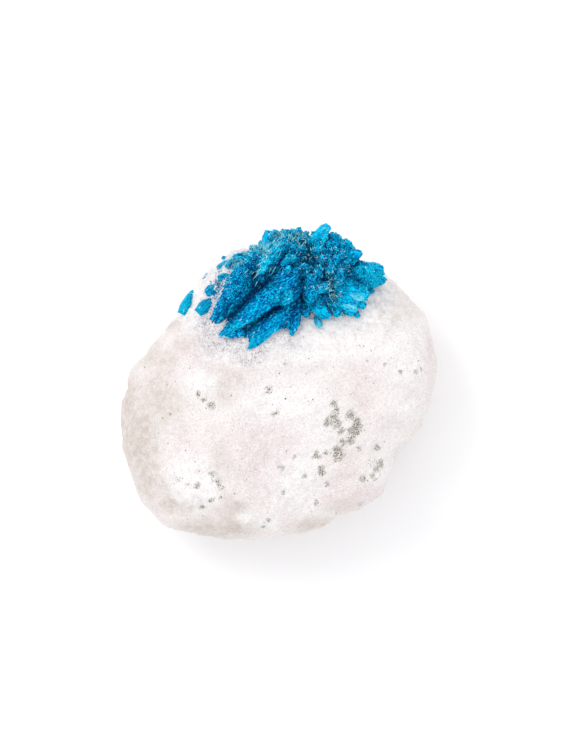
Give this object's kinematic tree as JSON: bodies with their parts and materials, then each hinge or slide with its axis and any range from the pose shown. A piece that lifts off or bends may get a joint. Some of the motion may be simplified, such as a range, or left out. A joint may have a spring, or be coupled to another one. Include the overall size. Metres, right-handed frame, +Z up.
{
  "type": "cavansite crystal cluster",
  "caption": "Spray of vivid blue cavansite blades on the rear edge of a rounded white zeolite nodule, with single crystals in the crust beside it. Rests on a flat facet.",
  "frame": {"origin": "on the resting plane, under the middle of the specimen's bounding box", "axes": "+Z up from the flat facet that it lies on, +Y towards the blue spray, +X to the spray's right seen from above"},
  "size_m": [0.0449, 0.0448, 0.0279],
  "materials": {
    "zeolite": "matte",
    "cavansite": "satin"
  },
  "bodies": {
    "root": {"matrix": "zeolite", "cavansite_cluster": "cavansite", "crystal_left_tip": "cavansite", "crystal_mound_lower": "cavansite", "crystal_mound_middle": "cavansite", "crystal_mound_upper": "cavansite", "crystal_mound_edge": "cavansite", "crystal_mound_sliver": "cavansite", "crystal_mound_splinter": "cavansite", "crystal_crest": "cavansite", "crystal_front_chip": "cavansite", "crystal_front_right_chip": "cavansite"}
  },
  "joints": []
}
